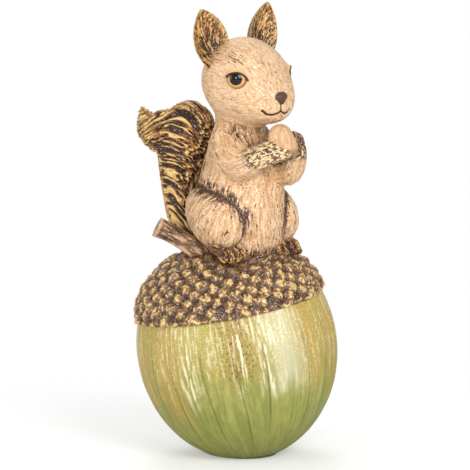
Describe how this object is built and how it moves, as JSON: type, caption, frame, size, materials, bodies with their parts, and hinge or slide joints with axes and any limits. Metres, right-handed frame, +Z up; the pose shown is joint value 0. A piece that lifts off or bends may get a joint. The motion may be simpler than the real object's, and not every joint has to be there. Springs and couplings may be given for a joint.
{
  "type": "squirrel on acorn figurine",
  "caption": "Cast resin ornament of a squirrel that sits upright on a leaning acorn and holds a nut in its paws; it rests on a flat felt-covered foot.",
  "frame": {"origin": "centre of the felt pad's underside, on the surface that the ornament stands on", "axes": "+Z up; the squirrel's body faces -Y, its left side is +X"},
  "size_m": [0.089, 0.0885, 0.1986],
  "materials": {
    "nut_green": "satin painted cast resin with gold brush strokes",
    "felt": "matte felt",
    "cap_brown": "painted cast resin, gold on the scales",
    "stalk_brown": "painted cast resin",
    "fur_cream": "painted cast resin with fine glitter",
    "fur_dark": "painted cast resin, gold dry brushing",
    "eye_gloss": "gloss painted eye",
    "paw_brown": "painted cast resin, gold dry brushing",
    "hazelnut_tan": "satin painted cast resin",
    "tail_brown": "painted cast resin, gold dry brushing"
  },
  "bodies": {
    "root": {"acorn_nut": "nut_green", "felt_pad": "felt", "acorn_cap": "cap_brown", "cap_stalk": "stalk_brown", "torso": "fur_cream", "head": "fur_cream", "ear_right": "fur_dark", "ear_left": "fur_dark", "eye_right": "eye_gloss", "eye_left": "eye_gloss", "thigh_right": "fur_cream", "thigh_left": "fur_cream", "foot_right": "paw_brown", "foot_left": "paw_brown", "arm_right": "fur_cream", "arm_left": "fur_cream", "held_nut": "hazelnut_tan", "tail": "tail_brown"}
  },
  "joints": []
}
